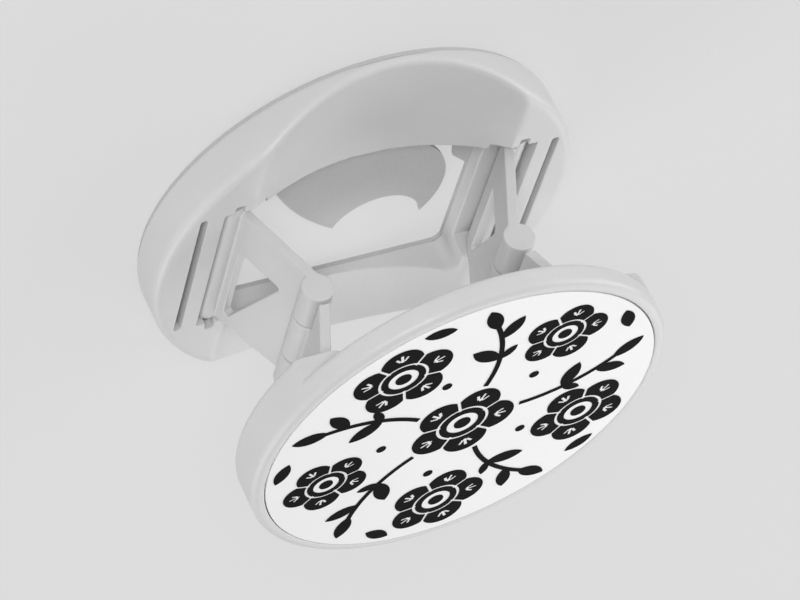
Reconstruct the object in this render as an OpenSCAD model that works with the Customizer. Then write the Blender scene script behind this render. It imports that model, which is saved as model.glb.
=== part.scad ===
// Folding phone grip: two round discs joined by two hinged arms, standing open on its base.
// Hinges run along Y, the arms stand left and right along X, and Z is the way the cap rises.

/* [Discs] */
// Diameter of the base
base_d = 40; // [38:0.5:44]
// How much smaller across the cap is than the base
cap_smaller = 1.4; // [0:0.1:2]
// Height over all when open
open_h = 25.1; // [22:0.1:26]
// Thickness left in the base at the bottom of its hollow
hollow_floor = 0.9; // [0.7:0.1:1.2]
// Radius of the hollow across the base and the cap
hollow_r = 24.7; // [23:0.1:27]
// Thickness of the cap's disc between its hinge blocks
cap_t = 2.2; // [2:0.1:2.4]
// Length of the hinge blocks under the cap, along the hinges
cap_block_l = 20.6; // [20:0.1:24]
// Rounding of the discs' outer edges
edge_r = 0.6; // [0.3:0.1:0.8]
// Rounding of the base's lower edge, above the pad
foot_r = 0.2; // [0.1:0.05:0.4]

/* [Base opening] */
// How far the opening reaches from the middle towards the front
opening_front = 7.6; // [7.5:0.1:9]
// How far the opening reaches from the middle towards the back
opening_back = 10.7; // [9:0.1:11.2]
// Rounding of the opening's corners
opening_r = 1; // [0.5:0.1:2]
// Width of the ledge between the opening and the hinge axis
ledge_w = 1.9; // [1.6:0.1:2.4]

/* [Adhesive pad] */
// Thickness of the adhesive pad
pad_t = 0.4; // [0.3:0.1:1]
// Distance of the pad's edge from the base's edge
pad_inset = 0.25; // [0.2:0.05:1]
// Radius of the pad's tongue across the opening
tongue_r = 7.3; // [7:0.1:7.6]
// Radius of the round bite out of the pad's tongue
bite_r = 4.6; // [4.2:0.1:4.8]
// Sideways place of the tongue's centre
tongue_x = 2.4; // [2:0.1:2.8]
// Sideways place of the bite's centre
bite_x = 3.75; // [3.5:0.05:4]

/* [Arms] */
// Distance of the hinge axes from the base's edge
hinge_inset = 6.4; // [6.2:0.1:7]
// Lean of the arms when open, in degrees
lean = 22.7; // [18:0.1:25]
// Radius of the hinge barrels
barrel_r = 1; // [0.9:0.05:1.1]
// Radius of the knuckles at the knee
knuckle_r = 1.45; // [1.2:0.05:1.6]
// Thickness of an arm's plate
plate_t = 0.95; // [0.8:0.05:1]
// Width of the arm at the barrel in the disc
barrel_l = 16; // [15.6:0.1:16.4]
// Reach of the plate next to that barrel, towards the front
plate_front = 7.25; // [6.8:0.05:7.3]
// Width of the plate at the knee
plate_knee_w = 14; // [13:0.1:14.5]
// Width of the single knuckle at the knee
knuckle_w = 5.4; // [4:0.1:6]
// Radius of the pins
pin_r = 0.5; // [0.4:0.05:0.6]
// Length of the pins in the discs
pin_l = 18.2; // [17.8:0.1:19.6]

/* [Arm window] */
// Distance from the disc's axis to the window's near side
window_start = 1.85; // [1.8:0.05:2.4]
// Distance from the disc's axis to the window's tip
window_end = 6.6; // [6:0.1:7.4]
// Window's reach towards the front
window_front = 2.6; // [2:0.1:4]
// Window's reach towards the back
window_back = 6.4; // [4:0.1:6.6]

/* [Hinge pockets] */
// Thickness of the floor under the barrels
pocket_floor = 1.45; // [1.2:0.05:1.7]
// Width of the groove outside each barrel
groove_w = 0.4; // [0.3:0.05:0.8]
// Thickness of the springy wall outside each base pocket
wall_t = 1.5; // [1:0.1:1.6]
// Width of the slot outside that wall
slot_w = 0.7; // [0.5:0.05:1]
// Width of the snap-in mouth above each pin seat
mouth_w = 0.85; // [0.7:0.05:0.95]

/* [Print] */
// Width of the cap's rim round the printed disc
print_rim = 1.2; // [1:0.1:1.6]
// Thickness of the printed disc
print_t = 0.6; // [0.4:0.05:0.7]
// Thickness of the ink
ink_t = 0.05; // [0.04:0.01:0.1]
// Distance of the ink's edge from the printed disc's edge
ink_inset = 0.25; // [0.1:0.05:0.6]
// Number of petals
petals = 5; // [5:1:7]

/* [Clearances] */
// Radial clearance of a pin in the barrel that turns on it
run_gap = 0.05; // [0.03:0.01:0.08]
// Radial clearance of a pin in the seat that holds it
seat_gap = 0.01; // [0.01:0.01:0.03]
// Clearance round a barrel or a knuckle
barrel_gap = 0.25; // [0.2:0.01:0.35]
// Clearance beside a barrel or a knuckle
side_gap = 0.2; // [0.15:0.05:0.3]
// Clearance round the printed disc
print_gap = 0.1; // [0.05:0.05:0.2]

/* [Hidden] */
smooth = 96;
fine = 48;
over = 1;
cap_d = base_d - cap_smaller;
print_d = cap_d - 2 * print_rim;
hinge_x = base_d / 2 - hinge_inset;
// Height of a hinge axis above the disc's outer face, and the hinge block that holds it
barrel_under = 0.4;
barrel_over = 0.35;
axis_h = pocket_floor + barrel_under + barrel_r;
block_t = axis_h + barrel_r + barrel_over;
// Heights of the axes when open
base_axis_z = pad_t + axis_h;
cap_axis_z = open_h - axis_h;
knee_z = (base_axis_z + cap_axis_z) / 2;
arm_l = (cap_axis_z - base_axis_z) / (2 * cos(lean));
knee_x = hinge_x - arm_l * sin(lean);
// Pockets, walls and slots are placed from the hinge axis
pocket_l = barrel_l + 2 * side_gap;
pocket_out = hinge_x + barrel_r + groove_w;
opening_half = hinge_x - ledge_w;
slot_x = pocket_out + wall_t + slot_w / 2;
cap_pocket_l = 8;
cap_pocket_in = pocket_out - cap_pocket_l;
// Plates lie flush with the barrels' inner side, and with their back end
plate_in = barrel_r;
plate_out = barrel_r - plate_t;
plate_back = barrel_l / 2;
// Knuckles of the knee, with closed ends over the pin
knuckle_end = 1.1;
knuckle_cover = 0.7;
knuckle_gap = barrel_gap + 0.1;
knee_pin_l = plate_knee_w - 2 * knuckle_cover;
window_r = 0.35;
pin_bevel = 0.1;
// Tongue and bite of the adhesive pad
tongue_y = -0.5;
tongue_root = 5.2;
bite_y = -5.9;
slant_r = 23.3;
slant_centre = [12.75, 14.64];
tongue_left = [[-14, 8.6], [-8, -1], [-0.8, -6]];
corner_right = [[9.4, 5.3], [12.5, 5.3], [12.5, 0.3], [9.9, 2.7]];
// Layout of the print, sized from the printed disc
ink_r = print_d / 2 - ink_inset;
flower_r = print_d * 0.136;
small_flower_r = print_d * 0.11;
ring_r = print_d * 0.352;
ring_flowers = 5;
dot_r = print_d * 0.0125;
stem_w = print_d * 0.013;
stem_r = print_d * 0.36;
stem_angle = 42;
leaf_l = print_d * 0.102;

// A cylinder along Y, centred on its axis
module along_y(r, l, n = fine) {
    rotate([90, 0, 0]) cylinder(r = r, h = l, center = true, $fn = n);
}

// A round disc standing on z = 0, with one rounding for its lower edge and one for its upper
module rounded_disc(d, t, low_r, high_r) {
    rotate_extrude($fn = smooth) {
        square([d / 2 - low_r, t / 2]);
        translate([0, t / 2]) square([d / 2 - high_r, t / 2]);
        translate([0, low_r]) square([d / 2, t - low_r - high_r]);
        translate([d / 2 - low_r, low_r]) circle(r = low_r, $fn = fine);
        translate([d / 2 - high_r, t - high_r]) circle(r = high_r, $fn = fine);
    }
}

// A rectangle from corner to corner with rounded corners
module rounded_rect(x0, x1, y0, y1, r) {
    translate([x0 + r, y0]) square([x1 - x0 - 2 * r, y1 - y0]);
    translate([x0, y0 + r]) square([x1 - x0, y1 - y0 - 2 * r]);
    for (x = [x0 + r, x1 - r], y = [y0 + r, y1 - r]) translate([x, y]) circle(r = r, $fn = fine);
}

// The saddle-shaped hollow, a round bar laid along the hinges
module hollow(floor_t) {
    translate([0, 0, floor_t + hollow_r]) along_y(hollow_r, base_d + 2 * over, smooth);
}

// The room for a barrel, open towards the other disc
module pocket(x_in) {
    translate([x_in, -pocket_l / 2, pocket_floor])
        cube([pocket_out - x_in, pocket_l, block_t]);
}

// A pin's seat at each end of a pocket, with a mouth that the pin snaps in through
module pin_seats() {
    translate([hinge_x, 0, axis_h]) {
        along_y(pin_r + seat_gap, pin_l);
        translate([-mouth_w / 2, -pin_l / 2, 0]) cube([mouth_w, pin_l, block_t]);
    }
}

// Repeats a shape on the left and on the right
module both_sides() {
    children();
    mirror([1, 0, 0]) children();
}

module left() {
    mirror([1, 0, 0]) children();
}

// The outline of the opening through the base
module opening_outline() {
    rounded_rect(-opening_half, opening_half, -opening_back, opening_front, opening_r);
}

module base() {
    color("white") translate([0, 0, pad_t]) difference() {
        rounded_disc(base_d, block_t, foot_r, edge_r);
        hollow(hollow_floor);
        translate([0, 0, -over]) linear_extrude(block_t + 2 * over) opening_outline();
        both_sides() {
            pocket(opening_half - over);
            pin_seats();
            translate([slot_x, 0, -over]) linear_extrude(block_t + 2 * over)
                rounded_rect(-slot_w / 2, slot_w / 2, -pocket_l / 2, pocket_l / 2, slot_w / 2.02);
        }
    }
}

// The tongue of the pad that shows through the opening
module tongue_outline() {
    polygon(corner_right);
    difference() {
        intersection() {
            union() {
                translate([tongue_x, tongue_y]) circle(r = tongue_r, $fn = smooth);
                polygon(concat(tongue_left, [[tongue_x, tongue_y], [tongue_x, tongue_left[0][1]]]));
                translate([0, tongue_root]) square([opening_half + over, opening_front]);
            }
            translate(slant_centre) circle(r = slant_r, $fn = smooth);
        }
        translate([bite_x, bite_y]) circle(r = bite_r, $fn = fine);
    }
}

module adhesive_pad() {
    color("gainsboro") linear_extrude(pad_t) difference() {
        circle(d = base_d - 2 * pad_inset, $fn = smooth);
        difference() {
            opening_outline();
            tongue_outline();
        }
    }
}

// The plate of an arm, from the disc's axis up to the knee
module plate() {
    translate([-plate_in, 0, 0]) rotate([90, 0, 90]) linear_extrude(plate_in - plate_out) polygon([
        [-plate_back, 0], [plate_front, 0],
        [plate_knee_w / 2, arm_l], [-plate_knee_w / 2, arm_l]
    ]);
}

// The three-cornered window, with its corners rounded
module window() {
    low = window_start + window_r;
    corners = [
        [window_front - window_r, low], [window_r - window_back, low],
        [window_front - window_r, window_end - window_r]
    ];
    translate([-plate_in - over, 0, 0]) rotate([90, 0, 90]) linear_extrude(plate_in + 2 * over)
        hull() for (c = corners) translate(c) circle(r = window_r, $fn = fine);
}

// A ring of cut or knuckle along Y from y0 to y1, at the knee
module at_knee(r, y0, y1) {
    translate([0, (y0 + y1) / 2, arm_l]) along_y(r, y1 - y0);
}

// The lower arm carries the two outer knuckles of the knee
module fork_arm() {
    k = knuckle_w / 2 + side_gap;
    w = plate_knee_w / 2;
    difference() {
        union() {
            along_y(barrel_r, barrel_l);
            plate();
            at_knee(knuckle_r, -w, w);
            translate([-plate_in, -w, arm_l]) cube([plate_t, 2 * w, knuckle_end]);
        }
        at_knee(knuckle_r + barrel_gap, -k, k);
        along_y(pin_r + run_gap, barrel_l + over);
        at_knee(pin_r + seat_gap, knuckle_cover - w, w - knuckle_cover);
        window();
    }
}

// The upper arm carries the single middle knuckle of the knee
module tongue_arm() {
    k = knuckle_w / 2;
    w = plate_knee_w / 2 + over;
    difference() {
        union() {
            along_y(barrel_r, barrel_l);
            plate();
            at_knee(knuckle_r, -k, k);
        }
        at_knee(knuckle_r + knuckle_gap, k, w);
        at_knee(knuckle_r + knuckle_gap, -w, -k);
        along_y(pin_r + run_gap, barrel_l + over);
        at_knee(pin_r + run_gap, -w, w);
        window();
    }
}

module place_lower() {
    translate([hinge_x, 0, base_axis_z]) rotate([0, -lean, 0]) children();
}

module place_upper() {
    translate([hinge_x, 0, cap_axis_z]) mirror([0, 0, 1]) rotate([0, -lean, 0]) children();
}

// A pin along Y with bevelled ends
module pin(l) {
    rotate([90, 0, 0]) translate([0, 0, -l / 2]) rotate_extrude($fn = fine) polygon([
        [0, 0], [pin_r - pin_bevel, 0], [pin_r, pin_bevel],
        [pin_r, l - pin_bevel], [pin_r - pin_bevel, l], [0, l]
    ]);
}

module base_pin() {
    color("silver") translate([hinge_x, 0, base_axis_z]) pin(pin_l);
}

module knee_pin() {
    color("silver") translate([knee_x, 0, knee_z]) pin(knee_pin_l);
}

module cap_pin() {
    color("silver") translate([hinge_x, 0, cap_axis_z]) pin(pin_l);
}

module lower_arm() {
    color("whitesmoke") place_lower() fork_arm();
}

module upper_arm() {
    color("whitesmoke") place_upper() tongue_arm();
}

// The hinge blocks under the cap, with the same hollow as the base
module cap_blocks() {
    difference() {
        intersection() {
            rounded_disc(cap_d, block_t, edge_r, edge_r);
            translate([-cap_d / 2, -cap_block_l / 2, 0]) cube([cap_d, cap_block_l, block_t]);
        }
        hollow(hollow_floor);
    }
}

module cap() {
    color("white") translate([0, 0, open_h]) mirror([0, 0, 1]) difference() {
        union() {
            rounded_disc(cap_d, cap_t, edge_r, edge_r);
            cap_blocks();
        }
        translate([0, 0, -over]) cylinder(d = print_d + 2 * print_gap, h = print_t + over, $fn = smooth);
        both_sides() {
            pocket(cap_pocket_in);
            pin_seats();
        }
    }
}

module print_disc() {
    color("white") translate([0, 0, open_h - print_t])
        cylinder(d = print_d, h = print_t, $fn = smooth);
}

// A flower of round petals with veins, an inner ring and an eye
module flower(r) {
    petal = r * 0.42;
    line = r * 0.06;
    difference() {
        union() {
            circle(r = r * 0.62, $fn = fine);
            for (i = [0 : petals - 1]) rotate(360 / petals * i) translate([r - petal, 0])
                circle(r = petal, $fn = fine);
        }
        difference() {
            circle(r = r * 0.5, $fn = fine);
            circle(r = r * 0.5 - line, $fn = fine);
        }
        difference() {
            circle(r = r * 0.3, $fn = fine);
            circle(r = r * 0.16, $fn = fine);
        }
        for (i = [0 : petals - 1]) rotate(360 / petals * i) {
            translate([r * 0.62, -line / 2]) square([r * 0.24, line]);
            for (s = [-1, 1]) translate([r * 0.6, 0]) rotate(s * 34)
                translate([line, -line / 2]) square([r * 0.16, line]);
            rotate(180 / petals) translate([r * 0.42, -line / 2]) square([r * 0.5, line]);
        }
    }
}

// A pointed leaf of length l, standing on the origin along X
module leaf(l) {
    r = l * 0.68;
    drop = r - l * 0.22;
    translate([l / 2, 0]) intersection() {
        translate([0, drop]) circle(r = r, $fn = fine);
        translate([0, -drop]) circle(r = r, $fn = fine);
    }
}

// A curved stem of radius r through the angle a, starting at the origin along X
module stem(r, a) {
    translate([0, r]) rotate(-90) intersection() {
        difference() {
            circle(r = r + stem_w / 2, $fn = smooth);
            circle(r = r - stem_w / 2, $fn = smooth);
        }
        polygon([[0, 0], [2 * r, 0], [2 * r, 2 * r * tan(a / 2)], [2 * r * cos(a), 2 * r * sin(a)]]);
    }
}

// A curved sprig with a pair of leaves, a third leaf and a tip leaf
module sprig(r, a, l) {
    stem(r, a);
    translate([0, r]) {
        rotate(a * 0.42) translate([0, -r]) {
            rotate(-42) leaf(l * 0.55);
            rotate(54) leaf(l * 0.95);
        }
        rotate(a * 0.76) translate([0, -r]) rotate(-46) leaf(l * 0.85);
        rotate(a - 2) translate([0, -r]) leaf(l * 0.9);
    }
}

module print_outline() {
    flower(flower_r);
    for (i = [0 : ring_flowers - 1]) rotate(360 / ring_flowers * i - 16) {
        big = i % 2 == 0;
        translate([ring_r, 0]) rotate(24 * i) flower(big ? flower_r * 0.93 : small_flower_r);
        rotate(24) translate([flower_r + dot_r, 0]) rotate(-4) sprig(stem_r, stem_angle, leaf_l);
        rotate(49) translate([ring_r + leaf_l, 0]) rotate(78) leaf(leaf_l * 0.8);
        rotate(-14) translate([ring_r - leaf_l * 1.4, 0]) circle(r = dot_r, $fn = fine);
    }
}

module print_ink() {
    color("black") translate([0, 0, open_h]) linear_extrude(ink_t) intersection() {
        circle(r = ink_r, $fn = smooth);
        print_outline();
    }
}

base();
adhesive_pad();
left() base_pin();  // base_pin_left
base_pin();  // base_pin_right
left() lower_arm();  // lower_arm_left
lower_arm();  // lower_arm_right
left() knee_pin();  // knee_pin_left
knee_pin();  // knee_pin_right
left() upper_arm();  // upper_arm_left
upper_arm();  // upper_arm_right
left() cap_pin();  // cap_pin_left
cap_pin();  // cap_pin_right
cap();
print_disc();
print_ink();
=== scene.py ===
import math
import bmesh
import bpy
from mathutils import Matrix, Vector


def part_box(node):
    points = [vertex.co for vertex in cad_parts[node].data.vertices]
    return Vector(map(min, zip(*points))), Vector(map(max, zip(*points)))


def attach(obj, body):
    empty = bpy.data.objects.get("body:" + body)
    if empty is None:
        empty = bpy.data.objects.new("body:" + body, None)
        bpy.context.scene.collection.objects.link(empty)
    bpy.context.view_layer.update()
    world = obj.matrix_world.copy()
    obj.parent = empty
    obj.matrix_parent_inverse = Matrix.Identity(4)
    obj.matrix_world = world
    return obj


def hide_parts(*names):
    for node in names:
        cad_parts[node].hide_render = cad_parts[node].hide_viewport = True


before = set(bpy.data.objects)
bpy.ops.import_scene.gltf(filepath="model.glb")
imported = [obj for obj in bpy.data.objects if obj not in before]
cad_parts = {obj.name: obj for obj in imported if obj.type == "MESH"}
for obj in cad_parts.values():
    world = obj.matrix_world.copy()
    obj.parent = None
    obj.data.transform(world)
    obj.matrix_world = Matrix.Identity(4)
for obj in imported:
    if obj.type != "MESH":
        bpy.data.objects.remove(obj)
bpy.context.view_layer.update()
scene = bpy.context.scene
mm = 0.001

# The view of the photograph, from the near side of the hinges and rolled with the grip.
photoView = {
    "place": (-0.113081, 0.232913, 0.147250),
    "right": (0.89346, 0.20013, 0.40221),
    "up": (0.22786, 0.56961, -0.78972),
    "lens": 151.2, "sensor": 36,
    "nearest": 0.01, "farthest": 20,
}


def addCamera(view):
    data = bpy.data.cameras.new("camera")
    data.lens = view["lens"]
    data.sensor_width = view["sensor"]
    data.clip_start = view["nearest"]
    data.clip_end = view["farthest"]
    camera = bpy.data.objects.new("camera", data)
    scene.collection.objects.link(camera)
    right = Vector(view["right"]).normalized()
    back = right.cross(Vector(view["up"])).normalized()
    up = back.cross(right)
    turn = Matrix((right, up, back)).transposed()
    camera.matrix_world = Matrix.Translation(view["place"]) @ turn.to_4x4()
    bpy.context.scene.camera = camera


addCamera(photoView)
scene.view_settings.view_transform = "Standard"
print("camera set")


# materials

noiseSpan = (0.3, 0.7)  # most values of a noise lie between these


def startMaterial(name):
    mat = bpy.data.materials.new(name)
    mat.use_nodes = True
    tree = mat.node_tree
    return mat, tree, tree.nodes["Principled BSDF"]


def onObject(tree):
    return tree.nodes.new("ShaderNodeTexCoord").outputs["Object"]


def addNoise(tree, scale, detail, rough=0.5, stretch=None):
    noise = tree.nodes.new("ShaderNodeTexNoise")
    noise.inputs["Scale"].default_value = scale
    noise.inputs["Detail"].default_value = detail
    noise.inputs["Roughness"].default_value = rough
    place = onObject(tree)
    if stretch:
        mapping = tree.nodes.new("ShaderNodeMapping")
        mapping.inputs["Scale"].default_value = stretch
        tree.links.new(place, mapping.inputs["Vector"])
        place = mapping.outputs["Vector"]
    tree.links.new(place, noise.inputs["Vector"])
    return noise.outputs["Fac"]


def addTint(tree, shader, source, look, span=noiseSpan):
    ramp = tree.nodes.new("ShaderNodeValToRGB")
    for element, position, colour in zip(ramp.color_ramp.elements, span, (look["dark"], look["light"])):
        element.position = position
        element.color = (*colour, 1)
    tree.links.new(source, ramp.inputs["Fac"])
    tree.links.new(ramp.outputs["Color"], shader.inputs["Base Color"])


def addRoughness(tree, shader, source, look):
    remap = tree.nodes.new("ShaderNodeMapRange")
    remap.inputs["From Min"].default_value = noiseSpan[0]
    remap.inputs["From Max"].default_value = noiseSpan[1]
    remap.inputs["To Min"].default_value = look["roughLow"]
    remap.inputs["To Max"].default_value = look["roughHigh"]
    tree.links.new(source, remap.inputs["Value"])
    tree.links.new(remap.outputs["Result"], shader.inputs["Roughness"])


def addBump(tree, shader, source, look):
    bump = tree.nodes.new("ShaderNodeBump")
    bump.inputs["Strength"].default_value = look["bumpStrength"]
    bump.inputs["Distance"].default_value = look["bumpDepth"]
    tree.links.new(source, bump.inputs["Height"])
    tree.links.new(bump.outputs["Normal"], shader.inputs["Normal"])


mouldedLook = {
    "light": (0.66, 0.66, 0.662), "dark": (0.615, 0.615, 0.62),
    "cloudScale": 90, "cloudDetail": 4, "grainScale": 5200, "grainDetail": 2,
    "roughLow": 0.36, "roughHigh": 0.5, "bumpStrength": 0.35, "bumpDepth": 0.006 * mm,
    "ior": 1.5,
}
armLook = {**mouldedLook, "light": (0.64, 0.64, 0.642), "dark": (0.6, 0.6, 0.603)}


def mouldedPlastic(name, look):
    mat, tree, shader = startMaterial(name)
    cloud = addNoise(tree, look["cloudScale"], look["cloudDetail"])
    grain = addNoise(tree, look["grainScale"], look["grainDetail"])
    addTint(tree, shader, cloud, look)
    addRoughness(tree, shader, cloud, look)
    addBump(tree, shader, grain, look)
    shader.inputs["IOR"].default_value = look["ior"]
    return mat


filmLook = {
    "light": (0.86, 0.86, 0.864), "dark": (0.835, 0.835, 0.84),
    "cloudScale": 60, "cloudDetail": 3, "waveScale": 900, "waveDetail": 1,
    "roughLow": 0.3, "roughHigh": 0.4, "bumpStrength": 0.15, "bumpDepth": 0.008 * mm,
}


def printedFilm(look):
    mat, tree, shader = startMaterial("printedFilm")
    cloud = addNoise(tree, look["cloudScale"], look["cloudDetail"])
    wave = addNoise(tree, look["waveScale"], look["waveDetail"])
    addTint(tree, shader, cloud, look)
    addRoughness(tree, shader, cloud, look)
    addBump(tree, shader, wave, look)
    return mat


inkLook = {
    "light": (0.007, 0.007, 0.0075), "dark": (0.003, 0.003, 0.0034),
    "speckScale": 2600, "speckDetail": 4, "gloss": 0.02,
    "roughLow": 0.5, "roughHigh": 0.68, "bumpStrength": 0.2, "bumpDepth": 0.004 * mm,
}


def blackInk(look):
    mat, tree, shader = startMaterial("blackInk")
    speck = addNoise(tree, look["speckScale"], look["speckDetail"])
    addTint(tree, shader, speck, look)
    addRoughness(tree, shader, speck, look)
    addBump(tree, shader, speck, look)
    shader.inputs["Specular IOR Level"].default_value = look["gloss"]
    return mat


foamLook = {
    "light": (0.53, 0.53, 0.533), "dark": (0.5, 0.5, 0.503),
    "cellScale": 5200, "cellSpan": (0.1, 0.6),  # from a cell's dark middle to its light wall
    "rough": 0.85, "bumpStrength": 0.4, "bumpDepth": 0.03 * mm,
}


def greyFoam(look):
    mat, tree, shader = startMaterial("greyFoam")
    cells = tree.nodes.new("ShaderNodeTexVoronoi")
    cells.inputs["Scale"].default_value = look["cellScale"]
    tree.links.new(onObject(tree), cells.inputs["Vector"])
    addTint(tree, shader, cells.outputs["Distance"], look, look["cellSpan"])
    addBump(tree, shader, cells.outputs["Distance"], look)
    shader.inputs["Roughness"].default_value = look["rough"]
    return mat


wireLook = {
    "light": (0.60, 0.60, 0.61), "dark": (0.42, 0.42, 0.43),
    "streakScale": 1800, "streakDetail": 3, "streakRough": 0.6,
    "streakStretch": (1, 0.02, 1),  # drawn out along the hinges
    "roughLow": 0.25, "roughHigh": 0.45, "bumpStrength": 0.3, "bumpDepth": 0.005 * mm,
}


def drawnWire(look):
    mat, tree, shader = startMaterial("drawnWire")
    streak = addNoise(tree, look["streakScale"], look["streakDetail"],
                      look["streakRough"], look["streakStretch"])
    addTint(tree, shader, streak, look)
    addRoughness(tree, shader, streak, look)
    addBump(tree, shader, streak, look)
    shader.inputs["Metallic"].default_value = 1
    return mat


shellPlastic = mouldedPlastic("shellPlastic", mouldedLook)
armPlastic = mouldedPlastic("armPlastic", armLook)
whiteFilm = printedFilm(filmLook)
inkBlack = blackInk(inkLook)
padFoam = greyFoam(foamLook)
pinWire = drawnWire(wireLook)
print("materials made")


# pieces

mergeReach = 0.001 * mm
easing = 0.5  # how far each smoothing pass takes a point towards its neighbours


def mergedCopy(node, name):
    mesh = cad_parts[node].data.copy()
    mesh.name = name
    mesh.materials.clear()
    bm = bmesh.new()
    bm.from_mesh(mesh)
    bmesh.ops.remove_doubles(bm, verts=bm.verts, dist=mergeReach)
    bm.to_mesh(mesh)
    bm.free()
    piece = bpy.data.objects.new(name, mesh)
    scene.collection.objects.link(piece)
    return piece


def applyModifiers(piece):
    graph = bpy.context.evaluated_depsgraph_get()
    mesh = bpy.data.meshes.new_from_object(piece.evaluated_get(graph))
    mesh.name = piece.name
    piece.modifiers.clear()
    piece.data = mesh


def softenEdges(piece, look):
    cells = piece.modifiers.new("cells", "REMESH")  # even cells, so that every edge can round
    cells.mode = "VOXEL"
    cells.voxel_size = look["cell"]
    cells.use_smooth_shade = True
    soft = piece.modifiers.new("soft", "SMOOTH")
    soft.factor = easing
    soft.iterations = look["passes"]
    applyModifiers(piece)


def finishMesh(piece, look):
    fewer = piece.modifiers.new("fewer", "DECIMATE")
    fewer.ratio = look["keep"]
    piece.modifiers.new("normals", "WEIGHTED_NORMAL")
    applyModifiers(piece)


def dressPiece(piece, material, body, slot, *nodes):
    piece.data.materials.append(material)
    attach(piece, body)
    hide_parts(*nodes)


def dressNode(node, material):
    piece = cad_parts[node]
    piece.data.materials.clear()
    piece.data.materials.append(material)


# The base's hollow is the form of a round bar laid along the hinges, with an ear at each side.
# Its edges and the ears' outer edges roll more widely than the rest: each is smoothed twice,
# within the reach and for the number of passes that its reaches give.
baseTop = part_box("base")[1][2]
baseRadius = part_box("base")[1][0]
baseRolls = {
    "hollowRadius": 24.7 * mm, "hollowMiddle": 26 * mm, "hollowReaches": {1.1 * mm: 25, 0.6 * mm: 45},
    "clearOfPins": 9.9 * mm, "clearOfArms": 12 * mm,
    "earReaches": {1.2 * mm: 30, 0.7 * mm: 20}, "clearOfSlots": 19.2 * mm,
}


def hollowDistance(co):
    fromHollow = abs(math.hypot(co.x, co.z - baseRolls["hollowMiddle"]) - baseRolls["hollowRadius"])
    fromTop = abs(co.z - baseTop)
    fromSide = abs(math.hypot(co.x, co.y) - baseRadius)
    return math.hypot(fromHollow, min(fromTop, fromSide))


def earDistance(co):
    return math.hypot(co.z - baseTop, math.hypot(co.x, co.y) - baseRadius)


def rollEdge(bm, verts, distance, reaches):
    for reach, passes in reaches.items():
        edge = [v for v in verts if distance(v.co) < reach]
        for turn in range(passes):
            bmesh.ops.smooth_vert(bm, verts=edge, factor=easing,
                                  use_axis_x=True, use_axis_y=True, use_axis_z=True)


def rollBase(piece):
    bm = bmesh.new()
    bm.from_mesh(piece.data)
    outer = [v for v in bm.verts if math.hypot(v.co.x, v.co.y) > baseRolls["clearOfSlots"]]
    ends = [v for v in bm.verts if abs(v.co.y) > baseRolls["clearOfPins"]
            and math.hypot(v.co.x, v.co.y) > baseRolls["clearOfArms"]]
    rollEdge(bm, outer, earDistance, baseRolls["earReaches"])
    rollEdge(bm, ends, hollowDistance, baseRolls["hollowReaches"])
    bm.to_mesh(piece.data)
    bm.free()


discEdges = {"cell": 0.1 * mm, "passes": 4, "keep": 0.29}
for node in ("base", "cap"):
    disc = mergedCopy(node, node + "Shell")
    softenEdges(disc, discEdges)
    if node == "base":
        rollBase(disc)
    finishMesh(disc, discEdges)
    dressPiece(disc, shellPlastic, node, "shell", node)
print("discs made")

armEdges = {"cell": 0.08 * mm, "passes": 4, "keep": 0.35}
for place in ("left", "right"):
    for level in ("lower", "upper"):
        node = level + "_arm_" + place
        arm = mergedCopy(node, level + place.capitalize() + "Arm")
        softenEdges(arm, armEdges)
        finishMesh(arm, armEdges)
        dressPiece(arm, armPlastic, node, "arm", node)
print("arms made")

for hinge in ("base", "knee", "cap"):
    for place in ("left", "right"):
        dressNode(hinge + "_pin_" + place, pinWire)
dressNode("adhesive_pad", padFoam)
dressNode("print_disc", whiteFilm)
dressNode("print_ink", inkBlack)
print("pins, pad and print dressed")


# floor and light

floorLook = {
    "colour": 0.82, "rough": 0.9, "gloss": 0.1, "size": 3,
    "glow": 0.7, "glowShare": 0.7,  # an even tone over the lit one, and its share
}
skyLook = {"light": 0.36, "seen": 0.72}


def grey(level):
    return (level, level, level, 1)


def seenDirectly(tree):
    path = tree.nodes.new("ShaderNodeLightPath")
    seen = path.outputs["Is Camera Ray"]
    for ray in ("Is Glossy Ray", "Is Transmission Ray"):
        either = tree.nodes.new("ShaderNodeMath")
        either.operation = "MAXIMUM"
        tree.links.new(seen, either.inputs[0])
        tree.links.new(path.outputs[ray], either.inputs[1])
        seen = either.outputs["Value"]
    return seen


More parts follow.
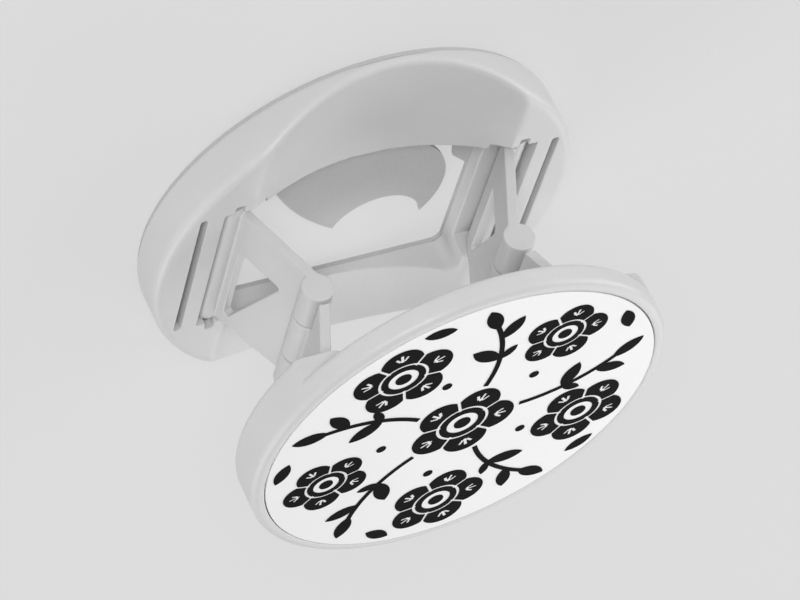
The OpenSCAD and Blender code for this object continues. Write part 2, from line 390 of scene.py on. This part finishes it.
def addFloor(look):
    mat, tree, shader = startMaterial("paleFloor")
    shader.inputs["Base Color"].default_value = grey(look["colour"])
    shader.inputs["Roughness"].default_value = look["rough"]
    shader.inputs["Specular IOR Level"].default_value = look["gloss"]
    glow = tree.nodes.new("ShaderNodeEmission")
    glow.inputs["Color"].default_value = grey(look["glow"])
    share = tree.nodes.new("ShaderNodeMath")
    share.operation = "MULTIPLY"
    share.inputs[1].default_value = look["glowShare"]
    tree.links.new(seenDirectly(tree), share.inputs[0])
    mix = tree.nodes.new("ShaderNodeMixShader")
    tree.links.new(share.outputs["Value"], mix.inputs["Fac"])
    tree.links.new(shader.outputs["BSDF"], mix.inputs[1])
    tree.links.new(glow.outputs["Emission"], mix.inputs[2])
    tree.links.new(mix.outputs["Shader"], tree.nodes["Material Output"].inputs["Surface"])
    mesh = bpy.data.meshes.new("floor")
    bm = bmesh.new()
    bmesh.ops.create_grid(bm, x_segments=1, y_segments=1, size=look["size"])
    bm.to_mesh(mesh)
    bm.free()
    mesh.materials.append(mat)
    floor = bpy.data.objects.new("floor", mesh)
    scene.collection.objects.link(floor)


def addWorld(look):
    world = bpy.data.worlds.new("studio")
    scene.world = world
    world.use_nodes = True
    tree = world.node_tree
    background = tree.nodes["Background"]
    level = tree.nodes.new("ShaderNodeMix")
    level.data_type = "FLOAT"
    level.inputs["A"].default_value = look["light"]
    level.inputs["B"].default_value = look["seen"]
    tree.links.new(seenDirectly(tree), level.inputs["Factor"])
    background.inputs["Color"].default_value = grey(1)
    tree.links.new(level.outputs["Result"], background.inputs["Strength"])


lampDistance = 0.6
lampTarget = Vector((0, 0, 12 * mm))  # about the middle of the open grip
softboxes = {
    "nearLight": {"towards": (-0.387, 0.797, 0.463), "size": 0.2, "power": 1.65},
    "rightLight": {"towards": (0.95, 0.2, 0.25), "size": 0.45, "power": 1.55},
    "farLeftLight": {"towards": (-0.6, -0.6, 0.5), "size": 0.45, "power": 1.2},
    "farRightLight": {"towards": (0.6, -0.6, 0.5), "size": 0.45, "power": 0.9},
}


def addSoftbox(name, look):
    data = bpy.data.lights.new(name, "AREA")
    data.shape = "DISK"
    data.size = look["size"]
    data.energy = look["power"]
    lamp = bpy.data.objects.new(name, data)
    scene.collection.objects.link(lamp)
    way = Vector(look["towards"]).normalized()
    lamp.location = way * lampDistance + lampTarget
    lamp.rotation_euler = way.to_track_quat("Z", "Y").to_euler()


addFloor(floorLook)
addWorld(skyLook)
for name, look in softboxes.items():
    addSoftbox(name, look)
print("floor and light set")
